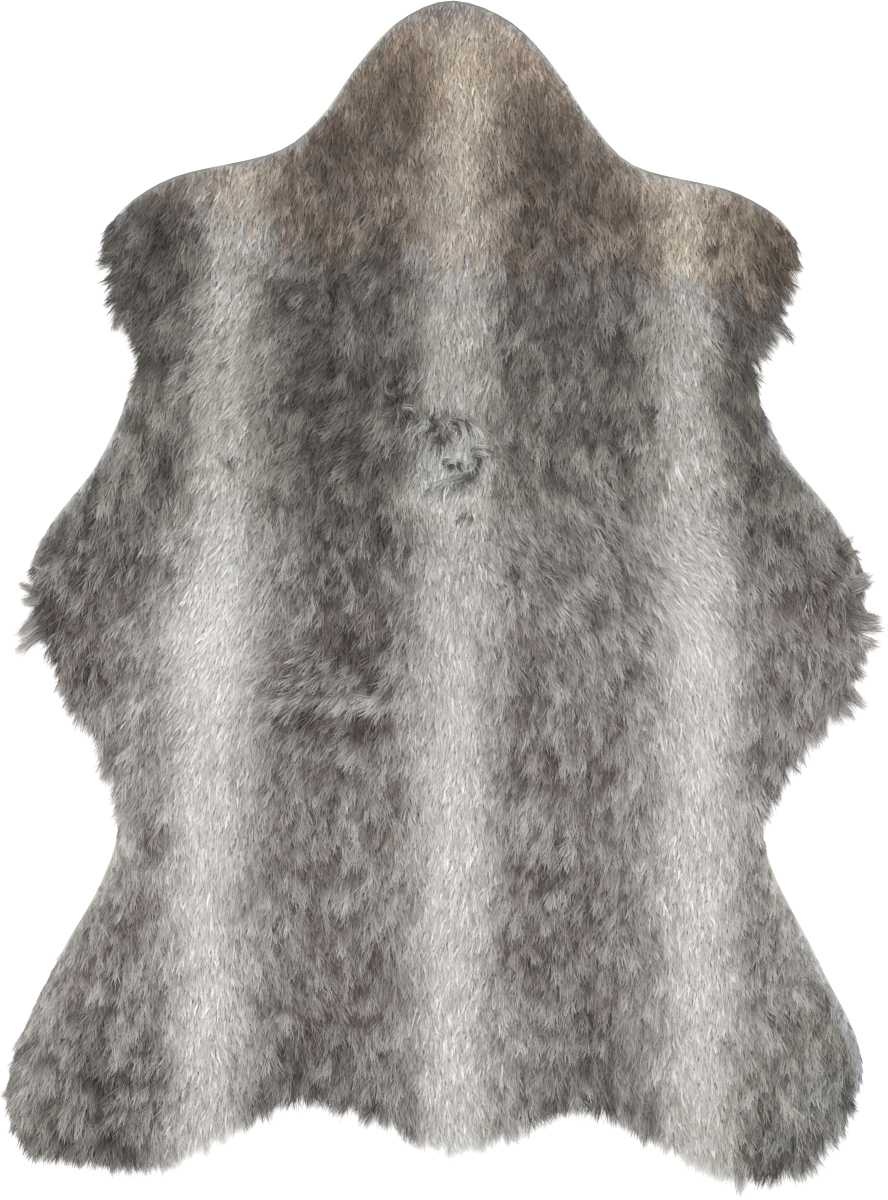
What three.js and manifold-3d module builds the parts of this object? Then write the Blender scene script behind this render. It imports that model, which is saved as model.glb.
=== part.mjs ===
// Imitation wolfskin rug, lying flat on the floor with its head end towards +Y. It is one cut of
// long-pile fur cloth: a level underside, a lumpy pile that thins to the cut edge, and locks that
// reach past the edge wherever the fur lies outwards. Millimetres, +Z up, origin on the floor
// under the middle of the rug.

import * as THREE from "three";
import { mergeVertices } from "three/addons/utils/BufferGeometryUtils.js";
import Module from "manifold-3d";

const FUR_COLOUR = 0x8d8883;
const FUR_ROUGHNESS = 0.9;

// The pile as it lies
const PILE_HEIGHT = 16; // between the tufts
const EDGE_HEIGHT = 5;
const EDGE_REACH = 42; // inwards from the cut edge to where the pile is at its full height
const TUFT_PITCH = 46; // from one tuft to the next
const TUFT_LENGTH = 40; // half a tuft, along the lay of the fur
const TUFT_WIDTH = 19; // half a tuft, across it
const TUFT_RISE = 10;
const SWELL_LENGTH = 210; // slow swells of the whole rug
const SWELL_RISE = 5;

// Locks at the rim
const LOCK_PITCH = 11; // from lock to lock, measured across the lay
const LOCK_WIDTH = 9;
const LOCK_HEIGHT = 7;
const LOCK_ROOT = 24; // the length held inside the pile
const LOCK_REACH_LEAST = 6;
const LOCK_REACH_MOST = 17;
const LOCK_SWAY = 10; // degrees that a lock may lie off the lay of the fur
const LEAST_LEAN = 0.25; // locks stand only where this share of the lay points outwards
const LOCK_WAIST = 0.55; // where along its length a lock starts to narrow to its tip

// Fineness of the surface
const ACROSS_STEPS = 42;
const ALONG_STEPS = 56;
const EDGE_LINES = [0, 0.014, 0.034]; // closer lines beside each edge, as shares of the width
const STRETCH_POINTS = 8; // outline points from one landmark to the next

// The outline, clockwise from the middle of the head end, drawn as one smooth closed curve
const OUTLINE = [
  { at: "head", x: 6, y: 600 },
  { at: "right of head", x: 63, y: 581 },
  { at: "right cheek", x: 106, y: 539 },
  { at: "right neck", x: 147, y: 479 },
  { at: "right collar", x: 186, y: 437 },
  { at: "right shoulder top", x: 296, y: 406 },
  { at: "right shoulder", x: 346, y: 370 },
  { at: "right foreleg", x: 358, y: 320 },
  { at: "right foreleg end", x: 340, y: 266 },
  { at: "right foreleg crook", x: 317, y: 213 },
  { at: "right ribs", x: 336, y: 155 },
  { at: "right flank top", x: 400, y: 70 },
  { at: "right flank", x: 427, y: -2 },
  { at: "right flank end", x: 415, y: -97 },
  { at: "right loin", x: 358, y: -168 },
  { at: "right waist", x: 321, y: -235 },
  { at: "right thigh", x: 374, y: -360 },
  { at: "right hock", x: 417, y: -455 },
  { at: "right hind foot", x: 405, y: -528 },
  { at: "right sole", x: 363, y: -578 },
  { at: "right inner sole", x: 282, y: -583 },
  { at: "right groin", x: 200, y: -545 },
  { at: "right of tail", x: 140, y: -518 },
  { at: "tail", x: 9, y: -556 },
  { at: "left of tail", x: -132, y: -508 },
  { at: "left groin", x: -188, y: -527 },
  { at: "left inner sole", x: -268, y: -564 },
  { at: "left sole", x: -370, y: -560 },
  { at: "left hind foot", x: -422, y: -539 },
  { at: "left hock", x: -435, y: -475 },
  { at: "left thigh", x: -384, y: -355 },
  { at: "left rump", x: -346, y: -288 },
  { at: "left waist", x: -327, y: -228 },
  { at: "left loin", x: -348, y: -163 },
  { at: "left flank end", x: -390, y: -94 },
  { at: "left flank", x: -417, y: 0 },
  { at: "left flank top", x: -400, y: 65 },
  { at: "left ribs", x: -345, y: 140 },
  { at: "left foreleg crook", x: -308, y: 225 },
  { at: "left foreleg end", x: -333, y: 282 },
  { at: "left foreleg", x: -347, y: 330 },
  { at: "left shoulder", x: -333, y: 378 },
  { at: "left shoulder top", x: -281, y: 419 },
  { at: "left collar", x: -160, y: 452 },
  { at: "left neck", x: -122, y: 485 },
  { at: "left cheek", x: -85, y: 537 },
  { at: "left of head", x: -44, y: 580 },
];

// Where the lay of the fur turns away from straight down the back, in degrees, + towards +X
const LAY_TURNS = [
  { at: "left foreleg", x: -270, y: 255, wide: 75, long: 60, turn: -36 },
  { at: "left of neck", x: -90, y: 330, wide: 90, long: 70, turn: -16 },
  { at: "left foreleg end", x: -350, y: 290, wide: 45, long: 50, turn: -30 },
  { at: "right foreleg", x: 340, y: 280, wide: 60, long: 70, turn: 30 },
  { at: "left saddle", x: -110, y: 150, wide: 60, long: 45, turn: -32 },
  { at: "left flank", x: -300, y: 0, wide: 170, long: 130, turn: -30 },
  { at: "left flank edge", x: -420, y: -60, wide: 50, long: 110, turn: -30 },
  { at: "right flank", x: 240, y: 10, wide: 130, long: 110, turn: 38 },
  { at: "right flank edge", x: 420, y: -50, wide: 60, long: 120, turn: 42 },
  { at: "left loin", x: -110, y: -100, wide: 60, long: 55, turn: -38 },
  { at: "left hind leg", x: -390, y: -470, wide: 110, long: 120, turn: -24 },
  { at: "right hind leg", x: 410, y: -450, wide: 70, long: 120, turn: 22 },
];

// Knots in the pile along the spine: raised swirls and the small pits beside them
const KNOTS = [
  { at: "swirl on the spine", x: 2, y: 148, radius: 34, rise: 9 },
  { at: "pit below the swirl", x: 30, y: 118, radius: 20, rise: -8 },
  { at: "pit left of the swirl", x: -50, y: 212, radius: 18, rise: -7 },
  { at: "tuft left of the swirl", x: -78, y: 190, radius: 24, rise: 6 },
];

// Long single locks that stick out past the rest: root on the outline, then the tip
const LONG_LOCKS = [
  { at: "left foreleg", x: -318, y: 268, tipX: -342, tipY: 254 },
  { at: "right foreleg", x: 336, y: 270, tipX: 352, tipY: 252 },
  { at: "left flank", x: -400, y: -26, tipX: -429, tipY: -41 },
  { at: "right flank", x: 410, y: -2, tipX: 440, tipY: -22 },
  { at: "right flank end", x: 396, y: -84, tipX: 422, tipY: -101 },
  { at: "left hind foot", x: -416, y: -478, tipX: -443, tipY: -500 },
  { at: "right hind foot", x: 296, y: -560, tipX: 297, tipY: -598 },
];

const CELL_STRIDE = { i: 127.1, j: 311.7, gain: 43758.5453 };

const wasm = await Module();
wasm.setup();

// A repeatable number from 0 to 1 for each cell of a square grid
function cellValue(i, j) {
  const s = Math.sin(i * CELL_STRIDE.i + j * CELL_STRIDE.j) * CELL_STRIDE.gain;
  return s - Math.floor(s);
}

// Smooth lumps from -1 to 1, one cell across each
function lumps(x, y) {
  const i = Math.floor(x);
  const j = Math.floor(y);
  const fx = THREE.MathUtils.smoothstep(x - i, 0, 1);
  const fy = THREE.MathUtils.smoothstep(y - j, 0, 1);
  const near = THREE.MathUtils.lerp(cellValue(i, j), cellValue(i + 1, j), fx);
  const far = THREE.MathUtils.lerp(cellValue(i, j + 1), cellValue(i + 1, j + 1), fx);
  return 2 * THREE.MathUtils.lerp(near, far, fy) - 1;
}

// The way the fur lies at a point, as an angle from straight down the back
function layAngle(x, y) {
  let degrees = 0;
  for (const t of LAY_TURNS) {
    const dx = (x - t.x) / t.wide;
    const dy = (y - t.y) / t.long;
    degrees += t.turn * Math.exp(-(dx * dx + dy * dy) / 2);
  }
  return THREE.MathUtils.degToRad(degrees);
}

function layDirection(x, y, sway) {
  const angle = layAngle(x, y) + sway;
  return new THREE.Vector2(Math.sin(angle), -Math.cos(angle));
}

// Points along the closed outline, many to each stretch between landmarks
function outlinePoints() {
  const marks = OUTLINE.map((p) => new THREE.Vector3(p.x, p.y, 0));
  const curve = new THREE.CatmullRomCurve3(marks, true, "centripetal");
  const points = [];
  const count = marks.length * STRETCH_POINTS;
  for (let k = 0; k < count; k += 1) {
    const p = curve.getPoint(k / count);
    points.push(new THREE.Vector2(p.x, p.y));
  }
  return points;
}

const outline = outlinePoints();

// One stretch of the outline between two landmarks, clockwise
function stretch(from, to) {
  const first = OUTLINE.findIndex((p) => p.at === from) * STRETCH_POINTS;
  const last = OUTLINE.findIndex((p) => p.at === to) * STRETCH_POINTS;
  const count = (last - first + outline.length) % outline.length;
  const run = [];
  for (let k = 0; k <= count; k += 1) {
    run.push(outline[(first + k) % outline.length]);
  }
  return run;
}

// The points at given shares of the length of a run
function spaced(run, shares) {
  const lengths = [0];
  for (let k = 1; k < run.length; k += 1) {
    lengths.push(lengths[k - 1] + run[k].distanceTo(run[k - 1]));
  }
  const whole = lengths[lengths.length - 1];
  return shares.map((share) => {
    let k = 1;
    while (k < run.length - 1 && lengths[k] < share * whole) {
      k += 1;
    }
    const part = (share * whole - lengths[k - 1]) / (lengths[k] - lengths[k - 1]);
    return run[k - 1].clone().lerp(run[k], part);
  });
}

// Shares from 0 to 1, even in the middle and closer beside both edges
function gridShares(steps) {
  const margin = EDGE_LINES[EDGE_LINES.length - 1];
  const shares = [...EDGE_LINES];
  for (let k = 1; k < steps; k += 1) {
    shares.push(margin + ((1 - 2 * margin) * k) / steps);
  }
  for (const line of [...EDGE_LINES].reverse()) {
    shares.push(1 - line);
  }
  return shares;
}

// How far a point is from the cut edge
function insetOf(p) {
  let least = Infinity;
  for (const q of outline) {
    least = Math.min(least, q.distanceToSquared(p));
  }
  return Math.sqrt(least);
}

// How high a point stands on the tufts round it, from 0 to 1: each tuft is a long mound, one to
// a cell, that follows the lay of the fur
function tuftShare(p) {
  const i = Math.floor(p.x / TUFT_PITCH);
  const j = Math.floor(p.y / TUFT_PITCH);
  let highest = 0;
  for (const di of [-1, 0, 1]) {
    for (const dj of [-1, 0, 1]) {
      const x = (i + di + cellValue(i + di, j + dj)) * TUFT_PITCH;
      const y = (j + dj + cellValue(j + dj, i + di)) * TUFT_PITCH;
      const lay = layDirection(x, y, 0);
      const along = ((p.x - x) * lay.x + (p.y - y) * lay.y) / TUFT_LENGTH;
      const across = ((p.x - x) * lay.y - (p.y - y) * lay.x) / TUFT_WIDTH;
      highest = Math.max(highest, Math.exp(-along * along - across * across));
    }
  }
  return highest;
}

// The height of the pile at a point
function pileHeight(p, inset) {
  const swell = lumps(p.x / SWELL_LENGTH, p.y / SWELL_LENGTH);
  let full = PILE_HEIGHT + (SWELL_RISE / 2) * swell + TUFT_RISE * tuftShare(p);
  for (const knot of KNOTS) {
    const away = Math.hypot(p.x - knot.x, p.y - knot.y) / knot.radius;
    full += knot.rise * Math.exp(-away * away);
  }
  const share = Math.min(inset / EDGE_REACH, 1);
  return EDGE_HEIGHT + (full - EDGE_HEIGHT) * Math.sin((share * Math.PI) / 2);
}

// The pile surface: lines from side to side and from head to tail between the four stretches
function pileGrid() {
  const acrossShares = gridShares(ACROSS_STEPS);
  const alongShares = gridShares(ALONG_STEPS);
  const headEnd = spaced(stretch("left shoulder", "right shoulder"), acrossShares);
  const tailRun = stretch("right hind foot", "left hind foot").reverse();
  const tailEnd = spaced(tailRun, acrossShares);
  const rightSide = spaced(stretch("right shoulder", "right hind foot"), alongShares);
  const leftRun = stretch("left hind foot", "left shoulder").reverse();
  const leftSide = spaced(leftRun, alongShares);
  return alongShares.map((v, j) => acrossShares.map((u, i) => {
    const lengthways = headEnd[i].clone().lerp(tailEnd[i], v);
    const sideways = leftSide[j].clone().lerp(rightSide[j], u);
    const headCorners = headEnd[0].clone().lerp(headEnd[headEnd.length - 1], u);
    const tailCorners = tailEnd[0].clone().lerp(tailEnd[tailEnd.length - 1], u);
    return lengthways.add(sideways).sub(headCorners.lerp(tailCorners, v));
  }));
}

// The ring of grid cells round the outside, counter-clockwise from above
function rimCells(rows, columns) {
  const ring = [];
  for (let j = 0; j < rows - 1; j += 1) {
    ring.push([j, 0]);
  }
  for (let i = 0; i < columns - 1; i += 1) {
    ring.push([rows - 1, i]);
  }
  for (let j = rows - 1; j > 0; j -= 1) {
    ring.push([j, columns - 1]);
  }
  for (let i = columns - 1; i > 0; i -= 1) {
    ring.push([0, i]);
  }
  return ring;
}

// Turns loose corners and triangles into a closed solid
function solid(corners, triangles) {
  const geometry = new THREE.BufferGeometry();
  geometry.setAttribute("position", new THREE.Float32BufferAttribute(corners.flat(), 3));
  geometry.setIndex(triangles.flat());
  const merged = mergeVertices(geometry);
  const mesh = new wasm.Mesh({
    numProp: 3,
    vertProperties: new Float32Array(merged.attributes.position.array),
    triVerts: new Uint32Array(merged.index.array),
  });
  return new wasm.Manifold(mesh);
}

// The slab: pile on top, a low wall at the cut edge and a level underside
function slab() {
  const grid = pileGrid();
  const rows = grid.length;
  const columns = grid[0].length;
  const corners = [];
  for (let j = 0; j < rows; j += 1) {
    for (let i = 0; i < columns; i += 1) {
      const p = grid[j][i];
      const onRim = j === 0 || i === 0 || j === rows - 1 || i === columns - 1;
      corners.push([p.x, p.y, onRim ? EDGE_HEIGHT : pileHeight(p, insetOf(p))]);
    }
  }
  const triangles = [];
  for (let j = 0; j < rows - 1; j += 1) {
    for (let i = 0; i < columns - 1; i += 1) {
      const a = j * columns + i;
      const b = a + columns;
      triangles.push([a, b, b + 1], [a, b + 1, a + 1]);
    }
  }
  const ring = rimCells(rows, columns);
  const floorStart = corners.length;
  for (const [j, i] of ring) {
    corners.push([grid[j][i].x, grid[j][i].y, 0]);
  }
  ring.forEach(([j, i], k) => {
    const next = (k + 1) % ring.length;
    const above = j * columns + i;
    const aboveNext = ring[next][0] * columns + ring[next][1];
    triangles.push([floorStart + k, floorStart + next, aboveNext]);
    triangles.push([floorStart + k, aboveNext, above]);
  });
  const contour = ring.map(([j, i]) => grid[j][i]);
  for (const [a, b, c] of THREE.ShapeUtils.triangulateShape(contour, [])) {
    triangles.push([floorStart + a, floorStart + c, floorStart + b]);
  }
  return solid(corners, triangles);
}

// One lock: level underneath, ridged on top, held in the pile and narrowing to a tip on the floor
function lock(root, tip) {
  const way = tip.clone().sub(root);
  const side = new THREE.Vector2(-way.y, way.x).setLength(LOCK_WIDTH / 2);
  const waist = root.clone().addScaledVector(way, LOCK_WAIST);
  const corners = [];
  for (const p of [root, waist]) {
    corners.push([p.x + side.x, p.y + side.y, 0]);
    corners.push([p.x - side.x, p.y - side.y, 0]);
    corners.push([p.x, p.y, LOCK_HEIGHT]);
  }
  corners.push([tip.x, tip.y, 0]);
  const triangles = [
    [0, 1, 2], [0, 4, 1], [0, 3, 4], [1, 5, 2], [1, 4, 5], [2, 3, 0], [2, 5, 3],
    [3, 6, 4], [4, 6, 5], [5, 6, 3],
  ];
  return solid(corners, triangles);
}

// Locks all round the rim, evenly spread across the lay, where the fur lies outwards
function rimLocks() {
  const locks = [];
  let travelled = 0;
  outline.forEach((p, k) => {
    const next = outline[(k + 1) % outline.length];
    const step = next.clone().sub(p);
    const outwards = new THREE.Vector2(-step.y, step.x).normalize();
    const lean = outwards.dot(layDirection(p.x, p.y, 0));
    travelled += lean > LEAST_LEAN ? lean * step.length() : 0;
    while (travelled >= LOCK_PITCH) {
      travelled -= LOCK_PITCH;
      const chance = cellValue(locks.length, 1);
      const sway = THREE.MathUtils.degToRad(LOCK_SWAY * (2 * cellValue(locks.length, 2) - 1));
      const way = layDirection(p.x, p.y, sway);
      const reach = THREE.MathUtils.lerp(LOCK_REACH_LEAST, LOCK_REACH_MOST, chance);
      const root = p.clone().addScaledVector(way, -LOCK_ROOT);
      root.addScaledVector(outwards, -LOCK_WIDTH / 2);
      locks.push(lock(root, p.clone().addScaledVector(way, reach)));
    }
  });
  for (const long of LONG_LOCKS) {
    const tip = new THREE.Vector2(long.tipX, long.tipY);
    locks.push(lock(new THREE.Vector2(long.x, long.y), tip));
  }
  return locks;
}

// A named mesh from a closed solid
function part(name, body) {
  const mesh = body.getMesh();
  const geometry = new THREE.BufferGeometry();
  geometry.setAttribute("position", new THREE.BufferAttribute(mesh.vertProperties, 3));
  geometry.setIndex(new THREE.BufferAttribute(mesh.triVerts, 1));
  const material = new THREE.MeshStandardMaterial({
    color: FUR_COLOUR,
    roughness: FUR_ROUGHNESS,
    metalness: 0,
  });
  const named = new THREE.Mesh(geometry, material);
  named.name = name;
  return named;
}

const rug = new THREE.Group();
rug.add(part("fur_hide", wasm.Manifold.union([slab(), ...rimLocks()])));

export default rug;
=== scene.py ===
"""Imitation wolfskin rug: hide-shaped fur cloth with long pile, flat on the floor, head end towards +Y."""

import math

import bpy
import numpy as np
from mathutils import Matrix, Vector


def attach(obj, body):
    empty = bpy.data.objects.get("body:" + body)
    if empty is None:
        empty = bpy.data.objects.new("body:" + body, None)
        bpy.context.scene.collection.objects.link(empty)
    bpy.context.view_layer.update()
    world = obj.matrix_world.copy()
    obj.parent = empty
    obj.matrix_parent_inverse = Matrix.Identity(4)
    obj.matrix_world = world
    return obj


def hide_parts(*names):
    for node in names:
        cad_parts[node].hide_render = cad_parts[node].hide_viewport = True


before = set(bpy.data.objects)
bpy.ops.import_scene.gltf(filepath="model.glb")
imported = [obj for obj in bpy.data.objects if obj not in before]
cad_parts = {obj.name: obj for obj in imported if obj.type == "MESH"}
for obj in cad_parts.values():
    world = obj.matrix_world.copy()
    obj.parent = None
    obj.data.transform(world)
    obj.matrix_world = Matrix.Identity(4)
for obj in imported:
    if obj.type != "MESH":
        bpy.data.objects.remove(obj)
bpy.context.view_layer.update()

MM = 0.001
SEED = 17

# Sizes in millimetres
CLOTH_THICK = 1.8
CLOTH_INSET = 17.0  # the cloth ends this far inside the fur where the fur lies straight outwards
CLOTH_CUT_SHARE = 0.45  # where the hem is cut short, the fur reaches this much less past the cloth
RIM_REACH = 42.0  # the pile is at its full height this far in from the edge
RIM_LIFT = 0.22  # share of that height at the edge itself
CLUMP_SIZE = 4.6
CLUMP_STRETCH = 2.8  # clumps are longer along the lay than across it
TUFT_SIZE = 24.0
LOCK_SIZE = 11.0  # the fur gathers into locks of this size along its free edges
BARE_EDGE = 1.6  # a thin line of cloth shows at the cut edges
PILE_LOWEST = 0.6
PILE_LIMIT = 37.0

# Tones run from 0, black, to 1, white
CUT_TONE = 0.16
UNDERSIDE_TONE = 0.55
ROOT_TONE = 0.46  # roots show along the edges that the fur lies away from
ROOT_SHARE = 0.4
ROOT_BAND = 9.0
SIDE_TONE = 0.585  # paler roots show along the edges that the fur lies beside
SIDE_SHARE = [(230.0, 0.75), (330.0, 0.3)]  # y, share
SIDE_BAND = [(-250.0, 14.0), (-50.0, 9.0)]  # y, width
STRIPE_SHOULDER = 2.2  # how squarely a stripe falls off at its sides
STREAK_STRENGTH = [(100.0, 0.21), (400.0, 0.155)]  # y, strength
MIX_STRENGTH = [(-400.0, 1.1), (0.0, 1.1), (160.0, 0.85), (400.0, 0.75), (540.0, 0.4)]  # y, strength
MIX_FULL, MIX_FALL = 2.05, 2.6  # dark fur is mixed, and pale fur is even: at tone 0, and its fall
# Painted shade: how much darker the fur is drawn in the hollows where it parts
HOLLOW_PAINTED_SHADE = 0.36

# Warmth: below 0 is bluish grey, 0 olive grey, 0.5 mauve grey and 1 warm brown
GREY_WARMTH = 0.08
REAR_WARMTH = 0.4
SIDE_COOLNESS = 0.4
ROOT_COOLNESS = 0.32
BROWN_WARMTH = 0.72
NOSE_WARMTH = 0.16
RIGHT_SHOULDER_WARMTH = 0.12
BROWN_BLEND = 18.0  # the brown of the head end fades out over this distance either way

# Changes of the strands' length and height, as shares
FREE_LONGER = 0.45
CUT_SHORTER = 0.35
HOLLOW_SHORTER = 0.55
SWIRL_SHORTER = 0.25
HOLLOW_LOWER = 0.4
SWIRL_LOWER = 0.35

# Seeded unevenness: height, size across, stretch lengthways, seed
LAY_RIPPLES = [(7.0, 70.0, 1.0, 0), (14.0, 24.0, 1.0, 5)]
TONE_RIPPLES = [(0.5, 18.0, 1.5, 6), (0.25, 48.0, 1.0, 7), (0.85, 11.0, 3.0, 8)]
BROWN_FINGERS = [(8.0, 60.0, 1.0, 1), (20.0, 12.0, 2.4, 9)]
REACH_RIPPLES = [(0.1, 55.0, 1.0, 2)]

# The view from above, in millimetres
VIEW_LONG = 1200.0
VIEW_HEIGHT = 4000.0
VIEW_LEVEL = 4.0  # the view takes in its length at this height
SENSOR = 36.0

GRID_ACROSS = 217
GRID_ALONG = 297
CLOTH_STEP = 4  # the cloth has every fourth row and column of the grid
LOCK_STEPS = 7
STRETCH_POINTS = 12  # points on the outline from landmark to landmark

# The outline of the fur, clockwise from the middle of the head end: landmark, x, y
OUTLINE = [
    ("head", 6, 600),
    ("right of head", 63, 581),
    ("right cheek", 106, 539),
    ("right neck", 147, 479),
    ("right collar", 186, 437),
    ("right shoulder top", 296, 406),
    ("right shoulder", 346, 370),
    ("right foreleg", 358, 320),
    ("right foreleg end", 340, 266),
    ("right foreleg crook", 317, 213),
    ("right ribs", 336, 155),
    ("right flank top", 400, 70),
    ("right flank", 427, -2),
    ("right flank end", 415, -97),
    ("right loin", 358, -168),
    ("right waist", 321, -235),
    ("right thigh", 374, -360),
    ("right hock", 417, -455),
    ("right hind foot", 405, -528),
    ("right sole", 363, -578),
    ("right inner sole", 282, -583),
    ("right groin", 200, -545),
    ("right of tail", 140, -518),
    ("tail", 9, -556),
    ("left of tail", -132, -508),
    ("left groin", -188, -527),
    ("left inner sole", -286, -573),
    ("left sole", -366, -565),
    ("left hind foot", -427, -549),
    ("left hock", -435, -475),
    ("left thigh", -384, -355),
    ("left rump", -346, -288),
    ("left waist", -327, -228),
    ("left loin", -348, -163),
    ("left flank end", -390, -94),
    ("left flank", -417, 0),
    ("left flank top", -400, 65),
    ("left ribs", -345, 140),
    ("left foreleg crook", -312, 226),
    ("left foreleg notch", -321, 266),
    ("left foreleg end", -339, 293),
    ("left foreleg", -347, 330),
    ("left shoulder", -333, 378),
    ("left shoulder top", -281, 419),
    ("left collar", -160, 452),
    ("left neck", -122, 485),
    ("left cheek", -85, 537),
    ("left of head", -44, 580),
]

# Where the lay of the fur turns from straight down the back: place, x, y, wide, long, degrees towards +X
LAY_TURNS = [
    ("left shoulder top", -260, 410, 45, 40, -20),
    ("left shoulder edge", -348, 366, 26, 34, -30),
    ("left foreleg", -230, 258, 85, 50, -27),
    ("left foreleg end", -350, 290, 45, 50, -24),
    ("left of neck", -90, 330, 90, 70, -19),
    ("right foreleg", 345, 275, 50, 70, 30),
    ("left saddle", -110, 158, 50, 36, -38),
    ("left flank", -290, 0, 150, 140, -23),
    ("left flank edge", -430, -50, 32, 110, -34),
    ("left stripe", -232, -50, 40, 70, -7),
    ("right neck", 120, 440, 60, 50, 9),
    ("right belly", 140, 0, 85, 85, 27),
    ("right stripe bend", 246, 44, 50, 38, 30),
    ("right flank", 340, 10, 55, 90, 14),
    ("right flank edge", 432, -45, 26, 90, 28),
    ("right loin", 130, -160, 60, 50, -8),
    ("left loin", -115, -92, 60, 45, -42),
    ("rump", 70, -280, 70, 130, -9),
    ("right stripe", 262, -250, 40, 120, 5),
    ("left hind back", -114, -400, 60, 90, 4),
    ("left hind leg", -390, -470, 110, 120, -12),
    ("right hind leg", 410, -450, 60, 120, 8),
]

# The pale stripes from head to tail: y, x, half width, paleness
LEFT_STRIPE = [
    (-560, -242, 32, 0.69),
    (-420, -239, 34, 0.732),
    (-180, -235, 36, 0.743),
    (0, -229, 37, 0.785),
    (60, -222, 35, 0.73),
    (160, -218, 29, 0.66),
    (300, -211, 30, 0.645),
    (350, -206, 31, 0.645),
    (388, -200, 35, 0.635),
    (430, -204, 31, 0.565),
]
SPINE_STRIPE = [
    (-560, 11, 35, 0.725),
    (-390, 7, 35, 0.735),
    (-200, 12, 33, 0.75),
    (-60, 10, 36, 0.70),
    (60, 14, 36, 0.665),
    (110, 10, 34, 0.70),
    (180, 12, 33, 0.65),
    (260, 12, 34, 0.645),
    (340, 16, 34, 0.645),
    (400, 15, 33, 0.61),
    (450, 14, 30, 0.62),
    (510, 23, 25, 0.645),
    (545, 22, 24, 0.645),
    (575, 14, 32, 0.59),
    (596, 12, 30, 0.435),
]
RIGHT_STRIPE = [
    (-590, 252, 35, 0.70),
    (-340, 254, 38, 0.735),
    (-200, 250, 36, 0.74),
    (-60, 257, 34, 0.745),
    (20, 250, 39, 0.725),
    (100, 243, 31, 0.68),
    (260, 241, 28, 0.65),
    (370, 238, 33, 0.635),
    (440, 234, 34, 0.585),
]
# The fur between the stripes: y, tone
GROUND = [
    (-560, 0.435), (-400, 0.486), (-100, 0.482), (0, 0.458), (60, 0.42), (140, 0.385), (300, 0.365),
    (440, 0.365), (520, 0.39), (560, 0.41), (600, 0.40),
]
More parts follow.
